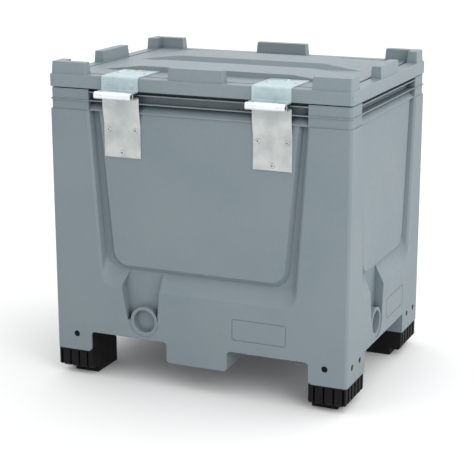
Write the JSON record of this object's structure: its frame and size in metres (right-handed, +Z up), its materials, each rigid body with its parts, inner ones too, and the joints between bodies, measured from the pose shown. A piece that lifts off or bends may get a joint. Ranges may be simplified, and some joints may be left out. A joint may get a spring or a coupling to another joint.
{
  "type": "lidded bulk container",
  "caption": "Pallet-sized grey plastic container on black feet, with a flat stacking lid that swings on steel strap hinges riveted to one long wall.",
  "frame": {"origin": "middle of the assembly's footprint at floor level", "axes": "+Z up; the long wall with the hinges faces -Y; X runs along the long walls"},
  "size_m": [0.8, 0.645, 0.82],
  "materials": {
    "box_plastic": "fine moulded grain, satin",
    "lid_plastic": "fine moulded grain, satin",
    "foot_plastic": "coarse moulded, matt black",
    "pin_plastic": "smooth moulded, matt black",
    "zinc_sheet": "galvanised, faint spangle",
    "steel_sheet": "rolled, satin",
    "pin_steel": "drawn rod",
    "rivet_metal": "satin",
    "washer_steel": "zinc plated"
  },
  "bodies": {
    "box": {"box_body": "box_plastic", "foot_front_left": "foot_plastic", "foot_front_right": "foot_plastic", "foot_pins_front_left": "pin_plastic", "foot_pins_front_right": "pin_plastic", "foot_pins_rear_left": "pin_plastic", "foot_pins_rear_right": "pin_plastic", "foot_rear_left": "foot_plastic", "foot_rear_right": "foot_plastic", "hinge_pin_left": "pin_steel", "hinge_pin_right": "pin_steel", "hinge_wall_leaf_left": "steel_sheet", "hinge_wall_leaf_right": "steel_sheet", "wall_rivets_left": "rivet_metal", "wall_rivets_right": "rivet_metal", "wall_washers_left": "washer_steel", "wall_washers_right": "washer_steel"},
    "lid": {"lid": "lid_plastic", "hinge_lid_leaf_left": "zinc_sheet", "lid_rivets_left": "rivet_metal", "lid_washers_left": "washer_steel", "hinge_lid_leaf_right": "zinc_sheet", "lid_rivets_right": "rivet_metal", "lid_washers_right": "washer_steel"}
  },
  "joints": [
    {"name": "lid_hinge", "type": "hinge", "parent": "box", "child": "lid", "pos_m": [0, -0.3135, 0.75], "axis": [1, 0, 0], "range_deg": [0, 230]}
  ]
}
